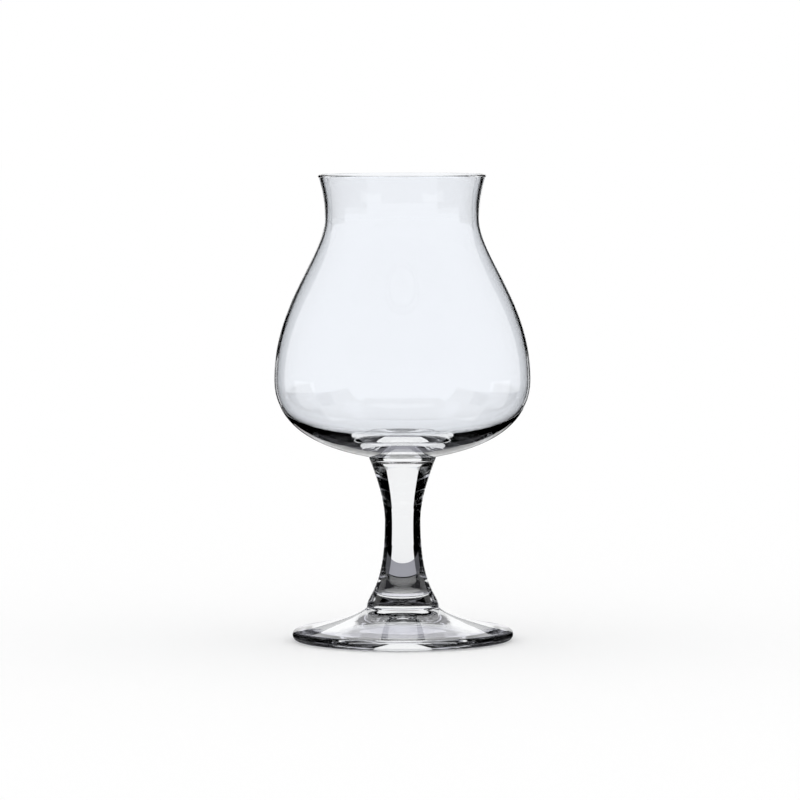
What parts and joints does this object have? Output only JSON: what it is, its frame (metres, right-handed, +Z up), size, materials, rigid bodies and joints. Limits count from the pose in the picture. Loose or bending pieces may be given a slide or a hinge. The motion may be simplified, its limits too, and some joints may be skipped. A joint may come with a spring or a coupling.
{
  "type": "tasting glass",
  "caption": "Stemmed tasting glass with a tulip bowl drawn in at the throat and flared at the lip, a short hourglass stem and a round pressed foot.",
  "frame": {"origin": "centre of the resting plane under the foot, on the axis of the glass", "axes": "+Z up along the axis of the glass, from the foot to the rim; X and Y are alike, because the glass is round"},
  "size_m": [0.0826, 0.0826, 0.15],
  "materials": {
    "bowl_glass": "clear blown glass, fire-polished, faintly cool in tone",
    "stem_glass": "clear pressed glass, fire-polished, with faint mould lines",
    "foot_glass": "clear pressed glass, fire-polished"
  },
  "bodies": {
    "root": {"bowl": "bowl_glass", "stem": "stem_glass", "foot": "foot_glass"}
  },
  "joints": []
}
